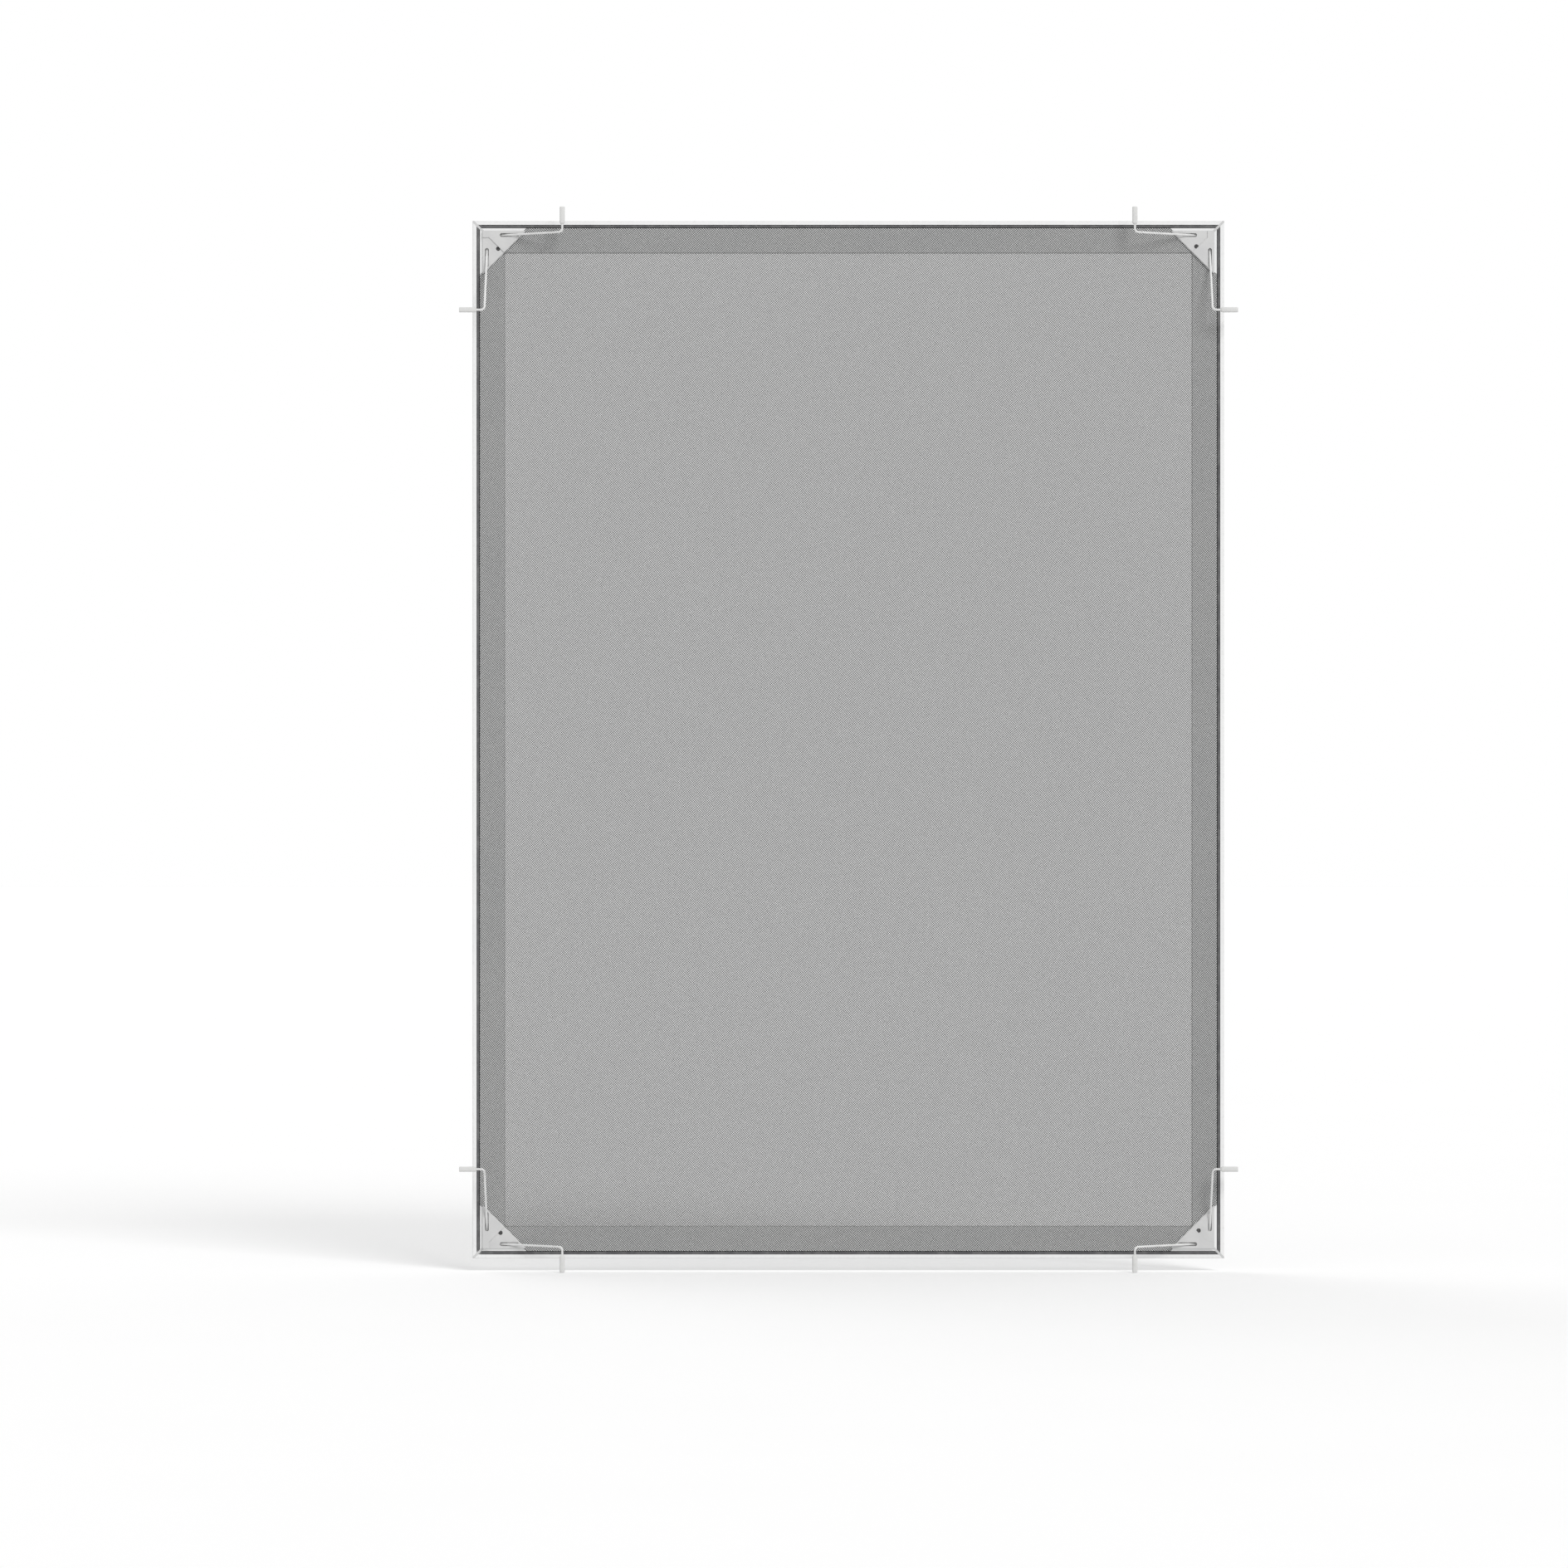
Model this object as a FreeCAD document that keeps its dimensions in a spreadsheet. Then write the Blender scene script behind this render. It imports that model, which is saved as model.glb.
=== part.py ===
import FreeCAD, Part
import math
import os
import re
import Sketcher

# Insect screen that eight spring hooks clamp to a lip behind them. Millimetres.
# The bars seat at y = 0, the gauze and the hooks are in front of them towards -Y, and +Z is up.
# The origin is the middle of the bottom bar's seat strip.
#
# Every corner is the same assembly, turned a quarter about Y from one corner to the next.
# A corner is drawn as the top left one, with its point at the frame's outer corner: "along"
# runs beside its own bar and "inward" runs from the bar's outer edge to the opening.

SIZES = {
    "frame_width": (815, "outside width over the bars"),
    "frame_height": (1125, "outside height over the bars"),
    "bar_width": (35, "bar, across its face"),
    "bar_depth": (10, "bar, from the seat to its back"),
    "bar_wall": (1.2, "wall of the extrusion"),
    "bar_edge_chamfer": (0.6, "chamfer of the bar's long edges"),
    "seat_strip": (4, "flat strip outside the groove, which seats"),
    "groove_width": (4.4, "inside width of the cord groove"),
    "groove_depth": (4.4, "depth of the cord groove"),
    "groove_lip": (0.35, "how far each lip reaches over the groove"),
    "groove_lip_height": (0.8, "thickness of the groove's lips"),
    "cord_diameter": (3.6, "rubber cord that holds the gauze"),
    "cord_clearance": (0.05, "between the cord and what it lies against"),
    "gauze_thickness": (0.2, "gauze, without its raised strands"),
    "gauze_clearance": (0.02, "between the gauze's hem and the groove's lip"),
    "gauze_corner_cut": (46.7, "diagonal cut of the gauze, from the corner to the middle of the cut"),
    "strand_width": (36, "strand between two gaps of the gauze, across"),
    "strand_height": (0.12, "how far a strand stands above the gauze"),
    "web_thickness": (1.2, "moulded wall between the mitred bar ends, for each half"),
    "plate_inset": (11, "from the frame's outer edge to the plate's outer edge"),
    "plate_leg": (47.2, "length of the corner plate beside the bar"),
    "plate_gap": (0.35, "from the bar's face to the plate's underside"),
    "lower_plate_height": (2.2, "top of the lower plate above the seat"),
    "raised_plate_height": (3.2, "top of the raised plate above the seat"),
    "plate_lap_clearance": (0.05, "between the two plates where one laps over the other"),
    "plate_lap_reach": (7.1, "how far the raised plate runs round the outer corner"),
    "plate_chamfer": (0.8, "chamfer of the plate's long slanted edge"),
    "slot_inset": (4.6, "from the plate's outer edge to the middle of the slot"),
    "slot_start": (18.7, "from the plate's corner to the near end of the slot"),
    "slot_end_margin": (8, "from the far end of the slot to the plate's tip"),
    "slot_width": (4, "slot in the plate, across"),
    "release_hole_diameter": (4.8, "hole at the mitre in the lower plate"),
    "release_hole_inset": (5.5, "from the middle of the slanted edge to the hole, along both legs"),
    "release_hole_offset": (1.2, "how far the hole's centre stands off the mitre, each way"),
    "release_hole_depth": (6.5, "from the bar's face to the floor of the release hole"),
    "spigot_length": (30, "spigot past the inner edge of the mitre"),
    "spigot_clearance": (0.15, "between the spigot and the bar's chamber"),
    "spigot_wall": (1.6, "walls and floor round the spigot's cells"),
    "spigot_lead": (2, "chamfer at the spigot's end"),
    "wire_diameter": (2.4, "coated spring wire"),
    "wire_clearance": (0.05, "round the wire in its channel and in its grip"),
    "arm_start": (4.3, "from the slot's near end to where the wire's middle line leaves the seat"),
    "foot_run": (14.5, "wire behind the seat, measured along the bar"),
    "foot_slot_clearance": (0.4, "round the wire where it passes the bar's wall"),
    "arm_drift": (1.7, "how far the arm leans outwards along its length"),
    "hook_reach": (98, "from the frame's outer corner to the hook's neck"),
    "neck_radius": (4, "bend from arm to neck, at its middle line"),
    "neck_length": (8.5, "from the arm's middle line to the grip"),
    "clamping_depth": (22, "from the seat to the grips: the thickness that they clamp"),
    "grip_length": (18.9, "soft sleeve on the hook's end"),
    "grip_width": (5.5, "sleeve, along the bar"),
    "grip_height": (4.6, "sleeve, front to back"),
    "grip_chamfer": (0.9, "chamfer of the sleeve's long edges"),
    "grip_end_chamfer": (0.8, "chamfer round the sleeve's two ends"),
    "grip_end_wall": (2.5, "solid end of the sleeve past the wire"),
}

GAP_COLUMNS = 9  # gaps across the gauze, which stand for its fine weave
GAP_ROWS = 12  # gaps up the gauze
NECK_RUNS = 4  # straight runs in the bend of each hook's neck
MITRED = 1  # how a swept wire turns from one run to the next

# Sizes that follow from the sheet, as expressions on its names.
WEB_RUN = "web_thickness * sqrt(2)"
PLATE_FAR = "plate_inset + plate_leg"
PLATE_MIDDLE = "plate_inset + plate_leg / 2"
SLOT_LINE = "plate_inset + slot_inset"
SLOT_NEAR = "plate_inset + slot_start + slot_width / 2"
SLOT_FAR = "plate_inset + plate_leg - slot_end_margin - slot_width / 2"
LAP_EDGE = "plate_inset + plate_lap_reach"
GROOVE_INNER = "seat_strip + groove_width"
CHAMBER_OUTER = "seat_strip + groove_width + bar_wall"
CHAMBER_INNER = "bar_width - bar_wall"
SPIGOT_END = "bar_width + spigot_length"
HEM_INNER = "seat_strip + groove_width - groove_lip - gauze_clearance"
HEM_OUTER = "seat_strip + groove_width - groove_lip - gauze_clearance - gauze_thickness"
GAUZE_CUT = "gauze_corner_cut * sqrt(2)"
GRIP_MIDDLE = "clamping_depth + grip_height / 2"
GRIP_START = "plate_inset + slot_inset - arm_drift - neck_length"
ARM_START = "plate_inset + slot_start + arm_start"
ARM_SLOPE = f"(({GRIP_MIDDLE}) / (hook_reach - ({ARM_START})))"
ARM_LEAN = f"(arm_drift / (hook_reach - ({ARM_START})))"
WIRE_REACH = f"sqrt(1 + {ARM_SLOPE} ^ 2)"
FOOT_END = f"{ARM_START} - foot_run"
FOOT_DEPTH = f"foot_run * {ARM_SLOPE}"
FOOT_INWARD = f"{SLOT_LINE} + foot_run * {ARM_LEAN}"
RELEASE_ALONG = f"{PLATE_MIDDLE} - release_hole_inset + release_hole_offset"
RELEASE_INWARD = f"{PLATE_MIDDLE} - release_hole_inset - release_hole_offset"

CORNERS = (
    ("top_left", "top", "left"),
    ("top_right", "right", "top"),
    ("bottom_right", "bottom", "right"),
    ("bottom_left", "left", "bottom"),
)

doc = FreeCAD.newDocument("window_screen")
sheet = doc.addObject("Spreadsheet::Sheet", "Sizes")
for row, (name, (value, meaning)) in enumerate(SIZES.items(), start=1):
    sheet.set(f"A{row}", name)
    sheet.set(f"B{row}", str(value))
    sheet.set(f"C{row}", meaning)
    sheet.setAlias(f"B{row}", name)
doc.recompute()

pieces = []


def sized(words):
    """Turn the size names in an expression into references to the sheet."""
    def reference(word):
        return f"Sizes.{word.group()}" if word.group() in SIZES else word.group()
    return re.sub(r"[a-z_]+", reference, words)


def number(words):
    """The present value of an expression on size names."""
    return float(sheet.evalExpression(sized(words)))


def vector(x, y, z):
    return FreeCAD.Vector(number(x), number(y), number(z))


def own_side(along, inward):
    """A place beside the raised plate's bar, as sketch x and y."""
    return along, f"-({inward})"


def mirrored_side(along, inward):
    """The same place mirrored over the mitre, beside the lower plate's bar."""
    return inward, f"-({along})"


def new_body(name):
    body = doc.addObject("PartDesign::Body", name)
    body.Label = name
    pieces.append(body)
    return body


def new_sketch(body, plane, name, offset="0"):
    """An empty sketch on one of the body's origin planes, moved along the plane's normal."""
    sketch = body.newObject("Sketcher::SketchObject", name)
    support = next(feature for feature in body.Origin.OriginFeatures if feature.Role == plane)
    sketch.AttachmentSupport = [(support, "")]
    sketch.MapMode = "FlatFace"
    sketch.setExpression("AttachmentOffset.Base.z", sized(offset))
    return sketch


def hold_size(sketch, constraint, words):
    index = sketch.addConstraint(constraint)
    sketch.setExpression(f"Constraints[{index}]", sized(words))


def hold_point(sketch, line, end, place):
    """Tie one end or centre of a sketch line to x and y, each an expression."""
    x, y = place
    hold_size(sketch, Sketcher.Constraint("DistanceX", -1, 1, line, end, number(x)), x)
    hold_size(sketch, Sketcher.Constraint("DistanceY", -1, 1, line, end, number(y)), y)


def draw_polygon(sketch, places):
    """A closed outline through places, each a pair of expressions."""
    points = [vector(x, y, "0") for x, y in places]
    first = sketch.GeometryCount
    for index, point in enumerate(points):
        sketch.addGeometry(Part.LineSegment(point, points[(index + 1) % len(points)]), False)
    for index, place in enumerate(places):
        following = first + (index + 1) % len(places)
        sketch.addConstraint(Sketcher.Constraint("Coincident", first + index, 2, following, 1))
        hold_point(sketch, first + index, 1, place)


def draw_circle(sketch, centre, diameter):
    middle = vector(*centre, "0")
    shape = Part.Circle(middle, FreeCAD.Vector(0, 0, 1), number(diameter) / 2)
    line = sketch.addGeometry(shape, False)
    hold_point(sketch, line, 3, centre)
    hold_size(sketch, Sketcher.Constraint("Diameter", line, number(diameter)), diameter)


def draw_slot(sketch, start, end, width):
    """A slot with round ends between two centres."""
    first = vector(*start, "0")
    last = vector(*end, "0")
    radius = number(width) / 2
    ahead = (last - first).normalize() * radius
    side = FreeCAD.Vector(-ahead.y, ahead.x, 0)
    near = sketch.addGeometry(Part.Arc(first + side, first - ahead, first - side), False)
    far = sketch.addGeometry(Part.Arc(last - side, last + ahead, last + side), False)
    left = sketch.addGeometry(Part.LineSegment(first - side, last - side), False)
    right = sketch.addGeometry(Part.LineSegment(last + side, first + side), False)
    hold_point(sketch, near, 3, start)
    hold_point(sketch, far, 3, end)
    hold_size(sketch, Sketcher.Constraint("Radius", near, radius), f"{width} / 2")
    hold_size(sketch, Sketcher.Constraint("Radius", far, radius), f"{width} / 2")
    for line, line_end, arc in ((left, 1, near), (left, 2, far), (right, 1, far), (right, 2, near)):
        place = sketch.getPoint(line, line_end)
        arc_end = min((1, 2), key=lambda end: sketch.getPoint(arc, end).distanceToPoint(place))
        sketch.addConstraint(Sketcher.Constraint("Tangent", arc, arc_end, line, line_end))


def add_feature(body, kind, name, sketch, length, reverse=False):
    """A Pad or Pocket of one sketch, as deep as the expression length."""
    feature = body.newObject(f"PartDesign::{kind}", name)
    feature.Profile = sketch
    feature.setExpression("Length", sized(length))
    feature.Reversed = reverse
    sketch.Visibility = False
    return feature


def dress_edges(body, kind, name, size, wanted):
    """Fillet or chamfer the edges of the body's last solid that wanted picks out."""
    doc.recompute()
    last = body.Tip
    edges = [f"Edge{index}" for index, edge in enumerate(last.Shape.Edges, start=1) if wanted(edge)]
    feature = body.newObject(f"PartDesign::{kind}", name)
    feature.Base = (last, edges)
    feature.setExpression("Radius" if kind == "Fillet" else "Size", sized(size))
    return feature


def is_near(value, words):
    return abs(value - number(words)) < 0.001


def corner_place(quarter):
    """The frame's outer corner after a number of quarter turns from the top left."""
    at_right = quarter in (1, 2)
    at_bottom = quarter in (2, 3)
    x = "frame_width / 2" if at_right else "-frame_width / 2"
    z = "-seat_strip / 2" if at_bottom else "frame_height - seat_strip / 2"
    return x, z


def put_at_corner(piece, quarter):
    """Turn a piece drawn at the top left corner about Y and move it to its own corner."""
    piece.Placement = FreeCAD.Placement(
        FreeCAD.Vector(), FreeCAD.Rotation(FreeCAD.Vector(0, 1, 0), 90 * quarter))
    x, z = corner_place(quarter)
    piece.setExpression("Placement.Base.x", sized(x))
    piece.setExpression("Placement.Base.z", sized(z))


def make_bar(name, length, quarter):
    """Extruded bar with a cord groove and an L-shaped chamber, sawn to a mitre at both ends."""
    body = new_body(f"bar_{name}")
    # Sketch x is the depth y, and sketch y is z, which falls from the bar's outer edge.
    profile = new_sketch(body, "YZ_Plane", "profile")
    lip_inner = "seat_strip + groove_width - groove_lip"
    lip_outer = "seat_strip + groove_lip"
    draw_polygon(profile, (
        ("0", "-bar_edge_chamfer"),
        ("bar_edge_chamfer", "0"),
        ("bar_depth - bar_edge_chamfer", "0"),
        ("bar_depth", "-bar_edge_chamfer"),
        ("bar_depth", "bar_edge_chamfer - bar_width"),
        ("bar_depth - bar_edge_chamfer", "-bar_width"),
        ("bar_edge_chamfer", "-bar_width"),
        ("0", "bar_edge_chamfer - bar_width"),
        ("0", f"-({lip_inner})"),
        ("groove_lip_height", f"-({lip_inner})"),
        ("groove_lip_height", f"-({GROOVE_INNER})"),
        ("groove_depth", f"-({GROOVE_INNER})"),
        ("groove_depth", "-seat_strip"),
        ("groove_lip_height", "-seat_strip"),
        ("groove_lip_height", f"-({lip_outer})"),
        ("0", f"-({lip_outer})"),
    ))
    draw_polygon(profile, (
        ("groove_depth + bar_wall", "-bar_wall"),
        ("bar_depth - bar_wall", "-bar_wall"),
        ("bar_depth - bar_wall", f"-({CHAMBER_INNER})"),
        ("bar_wall", f"-({CHAMBER_INNER})"),
        ("bar_wall", f"-({CHAMBER_OUTER})"),
        ("groove_depth + bar_wall", f"-({CHAMBER_OUTER})"),
    ))
    add_feature(body, "Pad", "extrusion", profile, length)

    # Each mitre is set back by the moulded web that closes it.
    mitres = new_sketch(body, "XZ_Plane", "mitres", "-bar_depth")
    for mirror in (False, True):
        near = (
            ("-bar_width", "bar_width"),
            (f"{WEB_RUN} - bar_width", "bar_width"),
            (f"{WEB_RUN} + 2 * bar_width", "-2 * bar_width"),
            ("-bar_width", "-2 * bar_width"),
        )
        far = tuple((f"{length} - ({x})", z) for x, z in near)
        draw_polygon(mitres, far if mirror else near)
    add_feature(body, "Pocket", "mitre_cuts", mitres, "bar_depth", reverse=True)

    # A slot near each end lets a hook's wire pass the front wall on its slant.
    slots = new_sketch(body, "XZ_Plane", "wire_slots")
    reach = f"wire_diameter / 2 * {WIRE_REACH}"
    start = f"{ARM_START} - (bar_wall + {reach}) / {ARM_SLOPE} - foot_slot_clearance"
    end = f"{ARM_START} + ({reach}) / {ARM_SLOPE} + foot_slot_clearance"
    for mirror in (False, True):
        near, far = (f"{length} - ({start})", f"{length} - ({end})") if mirror else (start, end)
        outer = f"-({SLOT_LINE} - slot_width / 2)"
        inner = f"-({SLOT_LINE} + slot_width / 2)"
        draw_polygon(slots, ((near, outer), (far, outer), (far, inner), (near, inner)))
    add_feature(body, "Pocket", "wire_slot_cuts", slots, "bar_wall")

    # The release hole at the far end, under the lower plate, goes through the same wall.
    release = new_sketch(body, "XZ_Plane", "release_outline")
    centre = (f"{length} - ({RELEASE_ALONG})", f"-({RELEASE_INWARD})")
    draw_circle(release, centre, "release_hole_diameter")
    add_feature(body, "Pocket", "release_hole", release, "bar_wall")
    put_at_corner(body, quarter)


def make_corner_half(name, raised, quarter):
    """Moulded half of a corner: mitre web, spigot for one bar, and half of the cover plate."""
    body = new_body(name)
    side = own_side if raised else mirrored_side

    # The web has the bar's outline and fills its half of the mitre.
    web = new_sketch(body, "XZ_Plane", "web_outline", "-bar_depth")
    draw_polygon(web, (
        side("0", "0"),
        side(WEB_RUN, "0"),
        side(f"bar_width + {WEB_RUN}", "bar_width"),
        side("bar_width", "bar_width"),
    ))
    add_feature(body, "Pad", "web", web, "bar_depth")

    # The spigot plugs into the bar's chamber and grows out of the web.
    low = f"{CHAMBER_OUTER} + spigot_clearance"
    high = f"{CHAMBER_INNER} - spigot_clearance"
    spigot = new_sketch(body, "XZ_Plane", "spigot_outline", "bar_wall + spigot_clearance - bar_depth")
    draw_polygon(spigot, (
        side(low, low),
        side(f"{SPIGOT_END} - spigot_lead", low),
        side(SPIGOT_END, f"{low} + spigot_lead"),
        side(SPIGOT_END, f"{high} - spigot_lead"),
        side(f"{SPIGOT_END} - spigot_lead", high),
        side(high, high),
    ))
    thickness = "bar_depth - 2 * bar_wall - 2 * spigot_clearance"
    add_feature(body, "Pad", "spigot", spigot, thickness)

    # A short wall lifts the plate off the bar, so that the gauze can pass under it.
    neck_end = f"gauze_corner_cut / sqrt(2) - {WEB_RUN}"
    neck = new_sketch(body, "XZ_Plane", "neck_outline")
    draw_polygon(neck, (
        side("plate_inset", "plate_inset"),
        side(f"plate_inset + {WEB_RUN}", "plate_inset"),
        side(f"{neck_end} + {WEB_RUN}", neck_end),
        side(neck_end, neck_end),
    ))
    add_feature(body, "Pad", "neck", neck, "plate_gap")

    # Half of the triangular cover plate, from the mitre to the slanted edge.
    lower_top = "lower_plate_height + plate_lap_clearance" if raised else "lower_plate_height"
    plate = new_sketch(body, "XZ_Plane", "plate_outline", "plate_gap")
    draw_polygon(plate, (
        side("plate_inset", "plate_inset"),
        side(PLATE_FAR, "plate_inset"),
        side(PLATE_MIDDLE, PLATE_MIDDLE),
    ))
    add_feature(body, "Pad", "plate", plate, f"{lower_top} - plate_gap")
    if raised:
        # The raised half runs on round the outer corner, over its neighbour.
        upper = new_sketch(body, "XZ_Plane", "raised_outline", lower_top)
        draw_polygon(upper, (
            side("plate_inset", "plate_inset"),
            side(PLATE_FAR, "plate_inset"),
            side(PLATE_MIDDLE, PLATE_MIDDLE),
            side(LAP_EDGE, LAP_EDGE),
            side("plate_inset", LAP_EDGE),
        ))
        add_feature(body, "Pad", "raised_plate", upper, f"raised_plate_height - ({lower_top})")
    top = "raised_plate_height" if raised else "lower_plate_height"

    # The long slot that the hook rises from.
    slot = new_sketch(body, "XZ_Plane", "slot_outline", top)
    draw_slot(slot, side(SLOT_NEAR, SLOT_LINE), side(SLOT_FAR, SLOT_LINE), "slot_width")
    add_feature(body, "Pocket", "slot", slot, f"{top} - plate_gap")

    # The wire's foot lies in a slanting channel that is open to the bar's front wall.
    surface = "bar_wall + spigot_clearance"
    half_width = f"wire_diameter / 2 + wire_clearance + foot_run * {ARM_LEAN} / 2"
    middle = f"({SLOT_LINE} + {FOOT_INWARD}) / 2"
    under_wire = f"(wire_diameter / 2 + wire_clearance) * {WIRE_REACH}"
    past_foot = f"wire_clearance + wire_diameter / 2 * {ARM_SLOPE} / {WIRE_REACH}"
    channel_start = f"{FOOT_END} - ({past_foot})"
    channel_floor = f"{FOOT_DEPTH} + ({past_foot}) * {ARM_SLOPE} + {under_wire}"
    channel_exit = f"{ARM_START} - ({surface} - {under_wire}) / {ARM_SLOPE}"
    channel_side = f"-({middle} + {half_width})" if raised else f"{middle} - ({half_width})"
    channel = new_sketch(body, "XY_Plane" if raised else "YZ_Plane", "channel_outline", channel_side)

    def beside(along, depth):
        return (along, depth) if raised else (depth, f"-({along})")

    draw_polygon(channel, (
        beside(channel_start, surface),
        beside(channel_start, channel_floor),
        beside(channel_exit, surface),
    ))
    add_feature(body, "Pocket", "channel", channel, f"2 * ({half_width})", reverse=True)

    # Two cells in the back keep the moulding's walls even.
    cells = new_sketch(body, "XZ_Plane", "cell_outlines", "bar_wall + spigot_clearance - bar_depth")
    rib = f"(({low}) + ({high})) / 2"
    near_cell = "bar_width + web_thickness * 3"
    for bottom, ceiling in ((f"{low} + spigot_wall", f"{rib} - spigot_wall / 2"),
                            (f"{rib} + spigot_wall / 2", f"{high} - spigot_wall")):
        draw_polygon(cells, (
            side(near_cell, bottom),
            side(f"{SPIGOT_END} - spigot_lead - spigot_wall", bottom),
            side(f"{SPIGOT_END} - spigot_lead - spigot_wall", ceiling),
            side(near_cell, ceiling),
        ))
    add_feature(body, "Pocket", "cells", cells, f"{thickness} - spigot_wall", reverse=True)

    if not raised:
        hole = new_sketch(body, "XZ_Plane", "release_outline", top)
        draw_circle(hole, side(RELEASE_ALONG, RELEASE_INWARD), "release_hole_diameter")
        add_feature(body, "Pocket", "release_hole", hole, f"{top} + release_hole_depth")

    def is_slanted_top(edge):
        ends = [vertex.Point for vertex in edge.Vertexes]
        return all(is_near(point.x - point.z, f"2 * ({PLATE_MIDDLE})") and is_near(point.y, f"-({top})")
                   for point in ends)

    dress_edges(body, "Chamfer", "slanted_edge", "plate_chamfer", is_slanted_top)
    put_at_corner(body, quarter)


def make_gauze():
    """Gauze as a coarse weave, its hem turned down into the grooves and its corners cut off."""
    body = new_body("gauze")
    left = "-frame_width / 2"
    right = "frame_width / 2"
    bottom = "-seat_strip / 2"
    top = "frame_height - seat_strip / 2"

    def inside(edge):
        """The corners of a rectangle that stands in from the frame's outer edge."""
        return (
            (f"{left} + ({edge})", f"{bottom} + ({edge})"),
            (f"{right} - ({edge})", f"{bottom} + ({edge})"),
            (f"{right} - ({edge})", f"{top} - ({edge})"),
            (f"{left} + ({edge})", f"{top} - ({edge})"),
        )

    # A border lies on the bars, and its hem goes down into their grooves.
    opening = "bar_width + spigot_clearance"
    border = new_sketch(body, "XZ_Plane", "border_outline")
    draw_polygon(border, inside(HEM_OUTER))
    draw_polygon(border, inside(opening))
    add_feature(body, "Pad", "border", border, "gauze_thickness")
    hem = new_sketch(body, "XZ_Plane", "hem_outline")
    draw_polygon(hem, inside(HEM_OUTER))
    draw_polygon(hem, inside(HEM_INNER))
    add_feature(body, "Pad", "hem", hem, "groove_depth - cord_clearance", reverse=True)

    # Weft strands stand up in front and run over the bars from hem to hem.
    row_pitch = f"((frame_height - 2 * ({opening}) + strand_width) / {GAP_ROWS})"
    weft_low = f"{bottom} + {opening} + {row_pitch} - strand_width"
    weft = new_sketch(body, "XZ_Plane", "weft_outline")
    draw_polygon(weft, (
        (f"{left} + ({HEM_OUTER})", weft_low),
        (f"{right} - ({HEM_OUTER})", weft_low),
        (f"{right} - ({HEM_OUTER})", f"{weft_low} + strand_width"),
        (f"{left} + ({HEM_OUTER})", f"{weft_low} + strand_width"),
    ))
    weft_strand = add_feature(body, "Pad", "weft_strand", weft, "gauze_thickness + strand_height")
    repeat_strands(body, "weft_strands", weft_strand, weft, "V_Axis", row_pitch, GAP_ROWS - 1)

    # Warp strands stand up at the back, inside the opening, where no bar is behind them.
    column_pitch = f"((frame_width - 2 * ({opening}) + strand_width) / {GAP_COLUMNS})"
    warp_left = f"{left} + {opening} + {column_pitch} - strand_width"
    warp = new_sketch(body, "XZ_Plane", "warp_outline", "-strand_height")
    draw_polygon(warp, (
        (warp_left, f"{bottom} + {opening}"),
        (f"{warp_left} + strand_width", f"{bottom} + {opening}"),
        (f"{warp_left} + strand_width", f"{top} - ({opening})"),
        (warp_left, f"{top} - ({opening})"),
    ))
    warp_strand = add_feature(body, "Pad", "warp_strand", warp, "gauze_thickness + strand_height")
    repeat_strands(body, "warp_strands", warp_strand, warp, "H_Axis", column_pitch, GAP_COLUMNS - 1)

    # The corners are cut off under the plates, clear of the mitre webs.
    cut = new_sketch(body, "XZ_Plane", "corner_cuts", "gauze_thickness")
    for x_edge, x_sign in ((left, "+"), (right, "-")):
        for z_edge, z_sign in ((bottom, "+"), (top, "-")):
            draw_polygon(cut, (
                (x_edge, z_edge),
                (f"{x_edge} {x_sign} {GAUZE_CUT}", z_edge),
                (x_edge, f"{z_edge} {z_sign} {GAUZE_CUT}"),
            ))
    add_feature(body, "Pocket", "corners_cut", cut, "gauze_thickness + groove_depth")


def repeat_strands(body, name, strand, sketch, axis, pitch, count):
    """Repeat one raised strand at a pitch, along an axis of its sketch."""
    pattern = body.newObject("PartDesign::LinearPattern", name)
    pattern.Originals = [strand]
    pattern.Direction = (sketch, [axis])
    pattern.Occurrences = count
    pattern.setExpression("Length", sized(f"{count - 1} * {pitch}"))
    body.Tip = pattern


def make_cord(name, length, quarter):
    """Rubber cord that lies on the groove's floor and presses the hem against its inner side."""
    body = new_body(f"retaining_cord_{name}")
    middle = f"{HEM_OUTER} - cord_clearance - cord_diameter / 2"
    start = f"{HEM_OUTER} + {WEB_RUN}"
    section = new_sketch(body, "YZ_Plane", "section", start)
    draw_circle(section, ("groove_depth - cord_clearance - cord_diameter / 2", f"-({middle})"),
                "cord_diameter")
    add_feature(body, "Pad", "cord", section, f"{length} - 2 * ({start})")
    put_at_corner(body, quarter)


def bent_path(start, corner, end, radius):
    """Two straight runs with a bend between them that is made of short straight runs."""
    back = (start - corner).normalize()
    ahead = (end - corner).normalize()
    bisector = (back + ahead).normalize()
    centre = corner + bisector * (radius / math.sin(back.getAngle(ahead) / 2))
    entry = corner + back * (centre - corner).dot(back)
    leave = corner + ahead * (centre - corner).dot(ahead)
    arc = Part.Arc(entry, centre - bisector * radius, leave).toShape()
    return Part.makePolygon([start, *arc.discretize(NECK_RUNS + 1), end])


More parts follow.
